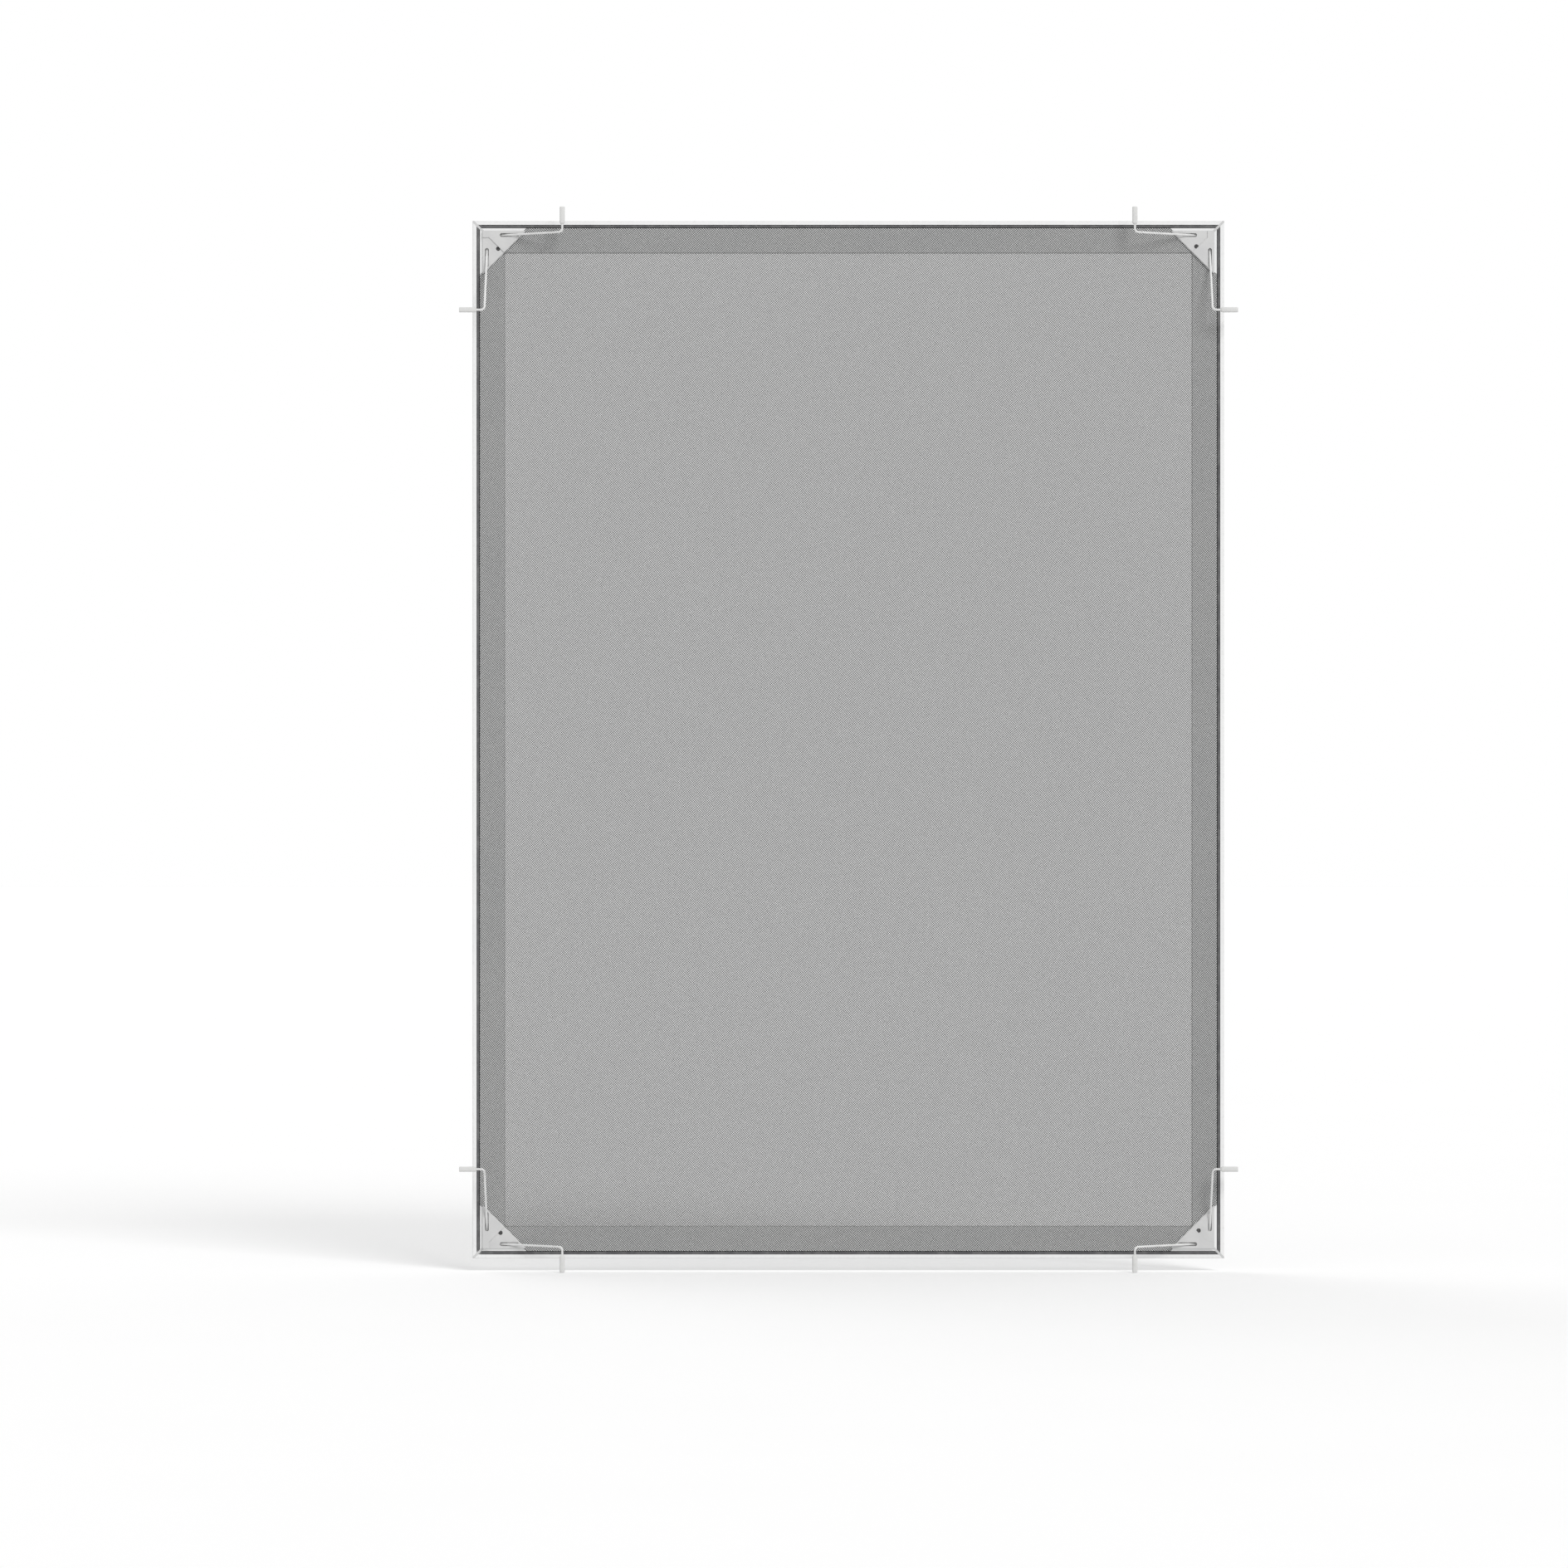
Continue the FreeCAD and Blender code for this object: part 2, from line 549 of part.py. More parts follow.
def make_hook(name, raised, quarter):
    """Coated spring wire: a straight arm that rises from its channel, and a neck that turns outwards.

    The arm leans in two directions, so the wire is swept along a path in space.
    """
    side = own_side if raised else mirrored_side

    def place(along, inward, depth):
        x, z = side(along, inward)
        return vector(x, depth, z)

    front = f"-({GRIP_MIDDLE})"
    foot = place(FOOT_END, FOOT_INWARD, FOOT_DEPTH)
    neck = place("hook_reach", f"{SLOT_LINE} - arm_drift", front)
    end = place("hook_reach", f"{GRIP_START} - grip_length + grip_end_wall", front)
    path = bent_path(foot, neck, end, number("neck_radius"))
    section = Part.Wire(Part.Circle(foot, neck - foot, number("wire_diameter") / 2).toShape())
    piece = doc.addObject("Part::Feature", name)
    piece.Label = name
    piece.Shape = path.makePipeShell([section], True, False, MITRED)
    put_at_corner(piece, quarter)
    pieces.append(piece)


def make_grip(name, raised, quarter):
    """Soft sleeve on a hook's end, with a flat back that lies on the lip it clamps."""
    body = new_body(name)
    plane = "XY_Plane" if raised else "YZ_Plane"
    # Sketch x and y are x and depth beside the raised plate, and depth and z beside the lower one.

    def place(across, depth):
        return (across, depth) if raised else (depth, f"-({across})")

    start = f"-({GRIP_START})" if raised else GRIP_START
    section = new_sketch(body, plane, "section", start)
    near = "hook_reach - grip_width / 2"
    far = "hook_reach + grip_width / 2"
    back = "-clamping_depth"
    front = "-clamping_depth - grip_height"
    draw_polygon(section, (
        place(f"{near} + grip_chamfer", back),
        place(f"{far} - grip_chamfer", back),
        place(far, f"{back} - grip_chamfer"),
        place(far, f"{front} + grip_chamfer"),
        place(f"{far} - grip_chamfer", front),
        place(f"{near} + grip_chamfer", front),
        place(near, f"{front} + grip_chamfer"),
        place(near, f"{back} - grip_chamfer"),
    ))
    add_feature(body, "Pad", "sleeve", section, "grip_length", reverse=not raised)
    bore = new_sketch(body, plane, "bore_outline", start)
    draw_circle(bore, place("hook_reach", f"-({GRIP_MIDDLE})"), "wire_diameter + 2 * wire_clearance")
    depth = "grip_length - grip_end_wall + wire_clearance"
    add_feature(body, "Pocket", "bore", bore, depth, reverse=raised)

    def is_end_edge(edge):
        ends = [-vertex.Point.z if raised else vertex.Point.x for vertex in edge.Vertexes]
        at_start = all(is_near(end, GRIP_START) for end in ends)
        at_tip = all(is_near(end, f"{GRIP_START} - grip_length") for end in ends)
        return len(ends) == 2 and (at_start or at_tip)

    dress_edges(body, "Chamfer", "end_chamfers", "grip_end_chamfer", is_end_edge)
    put_at_corner(body, quarter)


for quarter, (corner, own_bar, other_bar) in enumerate(CORNERS):
    length = "frame_height" if own_bar in ("left", "right") else "frame_width"
    make_bar(own_bar, length, quarter)
    make_cord(own_bar, length, quarter)
    make_corner_half(f"corner_{corner}_raised", True, quarter)
    make_corner_half(f"corner_{corner}_lower", False, quarter)
    for raised, bar in ((True, own_bar), (False, other_bar)):
        make_hook(f"hook_{corner}_on_{bar}", raised, quarter)
        make_grip(f"grip_{corner}_on_{bar}", raised, quarter)
make_gauze()
doc.recompute()

for item in doc.Objects:
    if "Invalid" in item.State or "Error" in item.State:
        raise RuntimeError(f"{item.Label} has failed: {item.State}")
    if item.TypeId == "PartDesign::Pocket":
        before = item.BaseFeature.Shape.Volume
        if item.Shape.Volume > before - 0.001:
            raise RuntimeError(f"{item.Label} in {item.getParentGeoFeatureGroup().Label} cuts nothing")
for piece in pieces:
    if piece.Shape.isNull() or not piece.Shape.isValid() or len(piece.Shape.Solids) != 1:
        raise RuntimeError(f"{piece.Label} is not one sound solid")

os.makedirs("parts", exist_ok=True)
for piece in pieces:
    piece.Shape.exportStep(f"parts/{piece.Label}.step")
print(f"{len(pieces)} pieces written")
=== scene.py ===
import math

import bpy
from mathutils import Matrix, Vector


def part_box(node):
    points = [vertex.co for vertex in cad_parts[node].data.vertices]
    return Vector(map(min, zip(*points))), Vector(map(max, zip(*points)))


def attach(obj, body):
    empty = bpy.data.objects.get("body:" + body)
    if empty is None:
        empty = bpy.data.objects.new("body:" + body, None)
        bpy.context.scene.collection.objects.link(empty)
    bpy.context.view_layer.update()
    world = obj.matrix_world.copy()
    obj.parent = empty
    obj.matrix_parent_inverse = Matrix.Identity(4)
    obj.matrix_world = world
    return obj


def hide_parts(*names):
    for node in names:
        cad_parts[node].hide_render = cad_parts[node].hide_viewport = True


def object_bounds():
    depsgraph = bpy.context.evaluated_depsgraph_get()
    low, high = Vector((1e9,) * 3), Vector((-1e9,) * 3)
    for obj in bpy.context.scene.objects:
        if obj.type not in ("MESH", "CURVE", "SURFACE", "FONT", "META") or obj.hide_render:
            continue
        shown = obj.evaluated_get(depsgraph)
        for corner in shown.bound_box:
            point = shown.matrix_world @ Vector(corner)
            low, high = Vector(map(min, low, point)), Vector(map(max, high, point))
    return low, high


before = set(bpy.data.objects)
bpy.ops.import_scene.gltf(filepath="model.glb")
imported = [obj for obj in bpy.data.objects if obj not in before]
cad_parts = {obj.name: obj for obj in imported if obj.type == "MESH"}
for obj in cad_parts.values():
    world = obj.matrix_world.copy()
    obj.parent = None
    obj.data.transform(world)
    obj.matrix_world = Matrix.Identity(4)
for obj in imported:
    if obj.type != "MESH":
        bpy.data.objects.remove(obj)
cad_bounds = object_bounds()


# Frame bars. Four lengths of extruded aluminium with a white powder coat, sawn to a mitre and
# pushed onto the spigots of the corner mouldings. The coat has a fine orange peel, and a little
# grey dust has settled towards the outer edges.

BAR_WHITE = (0.9, 0.9, 0.895, 1)
BAR_SHADE = (0.86, 0.865, 0.865, 1)
BAR_DUST = (0.55, 0.54, 0.52, 1)
BAR_ROUGHNESS = 0.34
BAR_COAT = 0.25
BAR_CLOUD_SIZE = 0.09
DUST_SPECK_SIZE = 0.004
DUST_REACH = 0.005
DUST_AMOUNT = 0.35
ORANGE_PEEL_SIZE = 0.0011
ORANGE_PEEL_HEIGHT = 0.00002
SHARP_EDGE_RADIUS = 0.0003
FRAME_WIDTH = 0.815
FRAME_HEIGHT = 1.125
FRAME_MIDDLE = (0, 0, 0.5605)


class Signal:
    """The output of one node. Plain arithmetic joins it to numbers, triples and other signals."""

    def __init__(self, sheet, socket):
        self.sheet = sheet
        self.socket = socket

    @property
    def kind(self):
        return self.socket.type

    def output(self, name):
        """Another output of the same node."""
        return Signal(self.sheet, self.socket.node.outputs[name])

    def through(self, operation, *others):
        """This signal, and others if the operation takes more than one, through a maths node."""
        return self.sheet.maths(operation, self, *others)

    def __add__(self, other):
        return self.through("ADD", other)

    def __radd__(self, other):
        return self.sheet.maths("ADD", other, self)

    def __sub__(self, other):
        return self.through("SUBTRACT", other)

    def __rsub__(self, other):
        return self.sheet.maths("SUBTRACT", other, self)

    def __mul__(self, other):
        return self.through("MULTIPLY", other)

    def __rmul__(self, other):
        return self.sheet.maths("MULTIPLY", other, self)

    def __truediv__(self, other):
        return self.through("DIVIDE", other)

    def __rtruediv__(self, other):
        return self.sheet.maths("DIVIDE", other, self)

    def __neg__(self):
        return self.through("MULTIPLY", -1)

    def __abs__(self):
        return self.through("ABSOLUTE")

    def rise(self, low, high):
        """0 below low, 1 above high, and a smooth step between them."""
        step = {"interpolation_type": "SMOOTHSTEP"}
        return self.sheet.node("ShaderNodeMapRange", step, {0: self, 1: low, 2: high})


class NodeSheet:
    """The node tree of a material or of a geometry modifier, written one node at a time."""

    def __init__(self, tree):
        self.tree = tree

    def node(self, kind, settings=None, sockets=None):
        """Add a node, set its settings, and plug signals or plain values into its sockets."""
        node = self.tree.nodes.new(kind)
        for name, value in (settings or {}).items():
            setattr(node, name, value)
        for name, value in (sockets or {}).items():
            self.plug(value, node.inputs[name])
        shown = [socket for socket in node.outputs if socket.enabled]
        return Signal(self, shown[0]) if shown else None

    def plug(self, value, socket):
        if isinstance(value, Signal):
            self.tree.links.new(value.socket, socket)
        else:
            socket.default_value = value

    def maths(self, operation, *operands):
        """One Math node, or one Vector Math node where an operand is a vector."""
        def is_vector(operand):
            return isinstance(operand, tuple) or getattr(operand, "kind", "VALUE") == "VECTOR"

        if not any(is_vector(operand) for operand in operands):
            return self.node("ShaderNodeMath", {"operation": operation}, dict(enumerate(operands)))
        triples = [operand if isinstance(operand, (tuple, Signal)) else (operand,) * 3
                   for operand in operands]
        return self.node("ShaderNodeVectorMath", {"operation": operation}, dict(enumerate(triples)))

    def parts(self, vector, axes="XYZ"):
        """The parts of a vector along some of its axes."""
        split = self.node("ShaderNodeSeparateXYZ", {}, {0: vector})
        return [split.output(axis) for axis in axes]

    def vector(self, x, y, z):
        return self.node("ShaderNodeCombineXYZ", {}, {0: x, 1: y, 2: z})

    def place(self):
        """The point's place on the object, in metres."""
        return self.node("ShaderNodeTexCoord").output("Object")

    def noise(self, place, size, detail=2, roughness=0.5):
        """Soft noise from 0 to 1 with spots of about one size, in metres."""
        sockets = {"Vector": place, "Scale": 1 / size, "Detail": detail, "Roughness": roughness}
        return self.node("ShaderNodeTexNoise", {}, sockets)

    def blend(self, amount, first, second):
        """A colour between two colours."""
        return self.node("ShaderNodeMix", {"data_type": "RGBA"}, {0: amount, 6: first, 7: second})

    def relief(self, height, metres, edge_radius=None):
        """A normal that follows a height from 0 to 1, with its sharp edges rounded if asked."""
        sockets = {"Height": height, "Distance": metres, "Strength": 1}
        if edge_radius:
            sockets["Normal"] = self.node("ShaderNodeBevel", {"samples": 4}, {"Radius": edge_radius})
        return self.node("ShaderNodeBump", {}, sockets)


def new_finish(name, fixed):
    """A material with one shader, its node sheet and its sockets. fixed holds the constants."""
    finish = bpy.data.materials.new(name)
    finish.use_nodes = True
    shader = finish.node_tree.nodes["Principled BSDF"]
    for socket, value in fixed.items():
        shader.inputs[socket].default_value = value
    return finish, NodeSheet(finish.node_tree), shader.inputs


def give_finish(finish, *names):
    """Dress CAD nodes in a material."""
    for name in names:
        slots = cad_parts[name].data.materials
        slots.clear()
        slots.append(finish)


bar_finish, sheet, shader = new_finish("white_powder_coat", {"Coat Roughness": 0.3, "IOR": 1.5})
place = sheet.place()
x, z = sheet.parts(place - FRAME_MIDDLE, "XZ")
from_edge = sheet.maths("MINIMUM", FRAME_WIDTH / 2 - abs(x), FRAME_HEIGHT / 2 - abs(z))
cloudy = sheet.noise(place, BAR_CLOUD_SIZE, detail=4)
specks = sheet.noise(place, DUST_SPECK_SIZE, detail=5, roughness=0.65)
dust = (1 - from_edge.rise(0, DUST_REACH)) * specks.rise(0.45, 0.8) * DUST_AMOUNT
peel = sheet.noise(place, ORANGE_PEEL_SIZE)
sheet.plug(sheet.blend(dust, sheet.blend(cloudy.rise(0.3, 0.7), BAR_WHITE, BAR_SHADE), BAR_DUST),
           shader["Base Color"])
sheet.plug(BAR_ROUGHNESS + cloudy * 0.12 + dust * 0.4, shader["Roughness"])
sheet.plug(BAR_COAT - dust * 0.5, shader["Coat Weight"])
sheet.plug(sheet.relief(peel, ORANGE_PEEL_HEIGHT, SHARP_EDGE_RADIUS), shader["Normal"])
give_finish(bar_finish, "bar_top", "bar_right", "bar_bottom", "bar_left")


# Retaining cords. Extruded rubber, pressed with the gauze's hem into the groove of each bar. The
# tool that rolls them in needs grip, so fine ribs run along them, and the rubber has dulled.

CORD_RUBBER = (0.115, 0.115, 0.12, 1)
CORD_BLOOM = (0.21, 0.21, 0.21, 1)
CORD_ROUGHNESS = 0.55
CORD_BLOOM_SIZE = 0.012
CORD_RIBS = 20
CORD_RIB_HEIGHT = 0.00012


def make_cord_rubber(side):
    """Dull rubber with ribs round the middle line of one cord."""
    name = f"retaining_cord_{side}"
    finish, sheet, shader = new_finish(f"ribbed_rubber_{side}", {"IOR": 1.48})
    low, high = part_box(name)
    place = sheet.place()
    x, y, z = sheet.parts(place - tuple((low + high) / 2))
    turn = y.through("ARCTAN2", z if side in ("top", "bottom") else x)
    ribs = (turn * CORD_RIBS).through("SINE")
    bloom = sheet.noise(place, CORD_BLOOM_SIZE, detail=5, roughness=0.6)
    sheet.plug(sheet.blend(bloom.rise(0.35, 0.75), CORD_RUBBER, CORD_BLOOM), shader["Base Color"])
    sheet.plug(CORD_ROUGHNESS + bloom * 0.25, shader["Roughness"])
    sheet.plug(sheet.relief(ribs * 0.5 + 0.5, CORD_RIB_HEIGHT), shader["Normal"])
    give_finish(finish, name)


for side in ("top", "right", "bottom", "left"):
    make_cord_rubber(side)


# Gauze. Dark glass-fibre yarn with a vinyl coat, woven square and laid on the bias over the front
# of the bars. It is stretched flat, its corners are cut off under the corner plates, and every
# yarn is modelled.

GAUZE_HALF_WIDTH = 0.39967
GAUZE_HALF_HEIGHT = 0.55467
GAUZE_CORNER_REACH = 0.90396
GAUZE_BIAS = math.radians(-36.1)
YARN_PITCH = 0.00164
YARN_WIDTH = 0.00064
YARN_THICKNESS = 0.0001
YARN_PIECE_LENGTH = 0.012
WEFT_LAYER = -0.4  # in yarn thicknesses from the front of the bars
WARP_LAYER = -1.4
YARN_ROUGHNESS = 0.5
YARN_RELIEF = 0.0004
ROUND_SHARE = 0.8
CRIMP_SHARE = 0.1
YARN_WEAR_SIZE = 0.05
YARN_COAT = (0.030, 0.032, 0.031, 1)
# The paler yarn tone: real wear on the gauze's yarns, and the painted highlight on the hem's raised
# crossings.
YARN_WORN_AND_LIT = (0.046, 0.049, 0.047, 1)

yarn_finish, sheet, shader = new_finish("vinyl_coated_yarn", {"IOR": 1.46})
place = sheet.place()
turned = sheet.node("ShaderNodeMapping", {}, {
    "Vector": place - FRAME_MIDDLE, "Rotation": (0, GAUZE_BIAS, 0)})
along, across = sheet.parts(turned * (math.pi / YARN_PITCH), "XZ")
lift = sheet.node("ShaderNodeAttribute", {"attribute_name": "lift"}).output("Fac")
on_warp, on_weft = along.through("COSINE"), across.through("COSINE")
over_and_under = on_warp * on_weft * lift
is_weft = lift.through("GREATER_THAN", 0)
roundness = on_weft * on_weft * is_weft + on_warp * on_warp * (1 - is_weft)
worn = sheet.noise(place, YARN_WEAR_SIZE, detail=6, roughness=0.6)
sheet.plug(sheet.blend(worn.rise(0.3, 0.9), YARN_COAT, YARN_WORN_AND_LIT), shader["Base Color"])
sheet.plug(YARN_ROUGHNESS + worn * 0.2, shader["Roughness"])
yarn_height = roundness * ROUND_SHARE + over_and_under * CRIMP_SHARE + CRIMP_SHARE
sheet.plug(sheet.relief(yarn_height, YARN_RELIEF), shader["Normal"])


def new_geometry_sheet(name, sizes):
    """A geometry tree with a named input for each size, and those inputs as signals by name."""
    tree = bpy.data.node_groups.new(name, "GeometryNodeTree")
    tree.interface.new_socket("Geometry", in_out="OUTPUT", socket_type="NodeSocketGeometry")
    for label, kind in sizes.items():
        tree.interface.new_socket(label, in_out="INPUT", socket_type=f"NodeSocket{kind}")
    sheet = NodeSheet(tree)
    first = sheet.node("NodeGroupInput")
    return sheet, {label: first.output(label) for label in sizes}


def end_geometry(sheet, geometry, finish):
    """Make instances real, smooth the faces of fewer than five corners, and set the material."""
    real = sheet.node("GeometryNodeRealizeInstances", {}, {0: geometry})
    is_side = sheet.node("GeometryNodeInputMeshFaceNeighbors").through("LESS_THAN", 5)
    smooth = sheet.node("GeometryNodeSetShadeSmooth", {}, {0: real, 2: is_side})
    dressed = sheet.node("GeometryNodeSetMaterial", {}, {0: smooth, 2: finish})
    sheet.node("NodeGroupOutput", {}, {0: dressed})


def grow(name, sheet, sizes):
    """A piece made by a geometry tree with these sizes, as a plain mesh."""
    blank = bpy.data.meshes.new(f"{name}_seed")
    seed = bpy.data.objects.new(f"{name}_seed", blank)
    bpy.context.scene.collection.objects.link(seed)
    modifier = seed.modifiers.new("grow", "NODES")
    modifier.node_group = sheet.tree
    for item in sheet.tree.interface.items_tree:
        if item.in_out == "INPUT":
            modifier[item.identifier] = sizes[item.name]
    shown = bpy.context.evaluated_depsgraph_get()
    mesh = bpy.data.meshes.new_from_object(seed.evaluated_get(shown), depsgraph=shown)
    bpy.data.objects.remove(seed)
    bpy.data.meshes.remove(blank)
    piece = bpy.data.objects.new(name, mesh)
    bpy.context.scene.collection.objects.link(piece)
    return piece


yarns, size = new_geometry_sheet("gauze_yarns", {
    "Half Width": "Float", "Half Height": "Float", "Corner Reach": "Float", "Middle": "Vector",
    "Pitch": "Float", "Yarn Width": "Float", "Yarn Thickness": "Float", "Bias": "Float",
    "Piece Length": "Float"})


def lay_yarns(bias, depth, lift):
    """One set of parallel yarns, each cut off where it meets the sheet's eight-sided outline."""
    cosine, sine = bias.through("COSINE"), bias.through("SINE")
    width, height, reach = size["Half Width"], size["Half Height"], size["Corner Reach"]
    half_diagonal = (width * width + height * height).through("SQRT")
    count = (half_diagonal / size["Pitch"]).through("CEIL") * 2 + 1
    across = (yarns.node("GeometryNodeInputIndex") - (count - 1) / 2) * size["Pitch"]
    pairs = (
        (-sine * across, cosine, width),
        (cosine * across, sine, height),
        ((cosine - sine) * across, cosine + sine, reach),
        (-(cosine + sine) * across, cosine - sine, reach),
    )
    starts = [-(offset / lean) - limit / abs(lean) for offset, lean, limit in pairs]
    ends = [-(offset / lean) + limit / abs(lean) for offset, lean, limit in pairs]
    start, end = starts[0], ends[0]
    for other_start, other_end in zip(starts[1:], ends[1:]):
        start = start.through("MAXIMUM", other_start)
        end = end.through("MINIMUM", other_end)
    halfway = (start + end) / 2
    place = yarns.vector(cosine * halfway - sine * across, depth, sine * halfway + cosine * across)
    points = yarns.node("GeometryNodePoints", {}, {
        "Count": count, "Position": place + size["Middle"]})
    one_metre = yarns.node("GeometryNodeCurvePrimitiveLine", {}, {
        "Start": (0, 0, -0.5), "End": (0, 0, 0.5)})
    laid = yarns.node("GeometryNodeInstanceOnPoints", {}, {
        "Points": points,
        "Selection": (end - start).through("GREATER_THAN", size["Pitch"]),
        "Instance": one_metre,
        "Rotation": yarns.vector(0, math.pi / 2 - bias, 0),
        "Scale": yarns.vector(1, 1, end - start),
    })
    real = yarns.node("GeometryNodeRealizeInstances", {}, {0: laid})
    lengths = yarns.node("GeometryNodeResampleCurve", {"mode": "LENGTH"}, {
        "Curve": real, "Length": size["Piece Length"]})
    section = yarns.node("GeometryNodeCurvePrimitiveLine", {}, {
        "Start": yarns.vector(0, size["Yarn Width"] / -2, 0),
        "End": yarns.vector(0, size["Yarn Width"] / 2, 0),
    })
    spun = yarns.node("GeometryNodeCurveToMesh", {}, {"Curve": lengths, "Profile Curve": section})
    return yarns.node("GeometryNodeStoreNamedAttribute", {"data_type": "FLOAT"}, {
        "Geometry": spun, "Name": "lift", "Value": lift})


weft = lay_yarns(size["Bias"], size["Yarn Thickness"] * WEFT_LAYER, 1)
warp = lay_yarns(size["Bias"] + math.pi / 2, size["Yarn Thickness"] * WARP_LAYER, -1)
cloth = yarns.node("GeometryNodeJoinGeometry", {}, {0: weft})
yarns.plug(warp, cloth.socket.node.inputs[0])
end_geometry(yarns, cloth, yarn_finish)
gauze = grow("woven_gauze", yarns, {
    "Half Width": GAUZE_HALF_WIDTH, "Half Height": GAUZE_HALF_HEIGHT,
    "Corner Reach": GAUZE_CORNER_REACH, "Middle": FRAME_MIDDLE, "Pitch": YARN_PITCH,
    "Yarn Width": YARN_WIDTH, "Yarn Thickness": YARN_THICKNESS, "Bias": GAUZE_BIAS,
    "Piece Length": YARN_PIECE_LENGTH})


# Hem of the gauze. The cloth's edge, turned down behind the inner lip of each groove and held
# there by the cord. It stops short of the corners, where the gauze is cut off.

HEM_THICKNESS = 0.0002
HEM_DEPTH = 0.00435
HEM_RELIEF = 0.0002
HEM_WEAR_SIZE = 0.02
BOX_FACES = ((0, 1, 3, 2), (4, 6, 7, 5), (0, 4, 5, 1), (2, 3, 7, 6), (0, 2, 6, 4), (1, 5, 7, 3))

hem_finish, sheet, shader = new_finish("folded_hem", {"IOR": 1.46})
place = sheet.place()
x, y, z = sheet.parts(place * (math.pi / YARN_PITCH))
woven = (x + z).through("SINE") * y.through("SINE")
worn = sheet.noise(place, HEM_WEAR_SIZE, detail=5)
# Painted highlight and painted shade: the hem's colour follows its weave height, lighter on the raised
# crossings and darker in the hollows between them.
sheet.plug(sheet.blend(woven * 0.5 + 0.5, YARN_COAT, YARN_WORN_AND_LIT), shader["Base Color"])
sheet.plug(YARN_ROUGHNESS + worn * 0.2, shader["Roughness"])
sheet.plug(sheet.relief(woven * 0.5 + 0.5, HEM_RELIEF), shader["Normal"])


def make_hem():
    """Four thin upright strips along the gauze's long sides."""
    corners, faces = [], []
    sides = ((GAUZE_HALF_HEIGHT, GAUZE_CORNER_REACH - GAUZE_HALF_HEIGHT),
             (GAUZE_HALF_WIDTH, GAUZE_CORNER_REACH - GAUZE_HALF_WIDTH))
    for quarter in range(4):
        turn = Matrix.Rotation(math.radians(90 * quarter), 3, "Y")
        out, half_length = sides[quarter % 2]
        first = len(corners)
        for x in (-half_length, half_length):
            for y in (0, HEM_DEPTH):
                for z in (out - HEM_THICKNESS, out):
                    corners.append(turn @ Vector((x, y, z)) + Vector(FRAME_MIDDLE))
        for face in BOX_FACES:
            faces.append([first + corner for corner in face])
    mesh = bpy.data.meshes.new("gauze_hem")
    mesh.from_pydata(corners, [], faces)
    mesh.materials.append(hem_finish)
    piece = bpy.data.objects.new("gauze_hem", mesh)
    bpy.context.scene.collection.objects.link(piece)
    return piece


hem = make_hem()
for piece in (gauze, hem):
    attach(piece, "root")
    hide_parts("gauze")


# Corner halves. Two mouldings of grey-white plastic meet on each mitre: webs, spigots and the two
# lapped halves of a cover plate. The mould was spark-eroded, so the faces have a fine dull grain,
# and the plastic has cooled with soft marks over the ribs behind it.

PLATE_GREY = (0.61, 0.61, 0.61, 1)
PLATE_PALE = (0.655, 0.655, 0.65, 1)
PLATE_GRIME = (0.40, 0.395, 0.385, 1)
PLATE_ROUGHNESS = 0.42
GRIME_AMOUNT = 0.25
SPARK_GRAIN_SIZE = 0.00035
FLOW_MARK_SIZE = 0.02
HANDLED_SPOT_SIZE = 0.006
PLATE_RELIEF = 0.00003
CORNERS = {  # each with the bar that its raised half lies on, and then the other one
    "top_left": ("top", "left"),
    "top_right": ("right", "top"),
    "bottom_right": ("bottom", "right"),
    "bottom_left": ("left", "bottom"),
}

corner_finish, sheet, shader = new_finish("moulded_corner_plastic", {"IOR": 1.53})
place = sheet.place()
grain = sheet.noise(place, SPARK_GRAIN_SIZE, detail=3, roughness=0.6)
flow = sheet.noise(place, FLOW_MARK_SIZE, detail=3)
handled = sheet.noise(place, HANDLED_SPOT_SIZE, detail=6, roughness=0.7)
colour = sheet.blend(flow.rise(0.3, 0.7), PLATE_GREY, PLATE_PALE)
grime = handled.rise(0.6, 0.85) * GRIME_AMOUNT
sheet.plug(sheet.blend(grime, colour, PLATE_GRIME), shader["Base Color"])
sheet.plug(PLATE_ROUGHNESS + handled * 0.2, shader["Roughness"])
sheet.plug(sheet.relief(grain + flow * 2, PLATE_RELIEF, SHARP_EDGE_RADIUS), shader["Normal"])
for corner in CORNERS:
    give_finish(corner_finish, f"corner_{corner}_raised", f"corner_{corner}_lower")


# Spring hooks. Hard-drawn steel wire with a white coat, one smooth bend each. The foot lies in the
# corner's channel, the arm slants up and along the bar, and past the bend the neck points straight
# out over the bar's edge.

WIRE_DIAMETER = 0.0024
WIRE_SIDES = 20
NECK_RADIUS = 0.004
NECK_STEPS = 12
HOOK_REACH = 0.098
ARM_START = 0.034
SLOT_LINE = 0.0156
ARM_DRIFT = 0.0017
FOOT_RUN = 0.0145
GRIP_MIDDLE = 0.0243
GRIP_END = 0.011
WIRE_WHITE = (0.78, 0.78, 0.775, 1)
WIRE_DULL = (0.66, 0.66, 0.655, 1)
WIRE_ROUGHNESS = 0.28
WIRE_COAT = 0.5
RUBBED_SPOT_SIZE = 0.007
COAT_RUN_SIZE = 0.003
COAT_RUN_HEIGHT = 0.00002

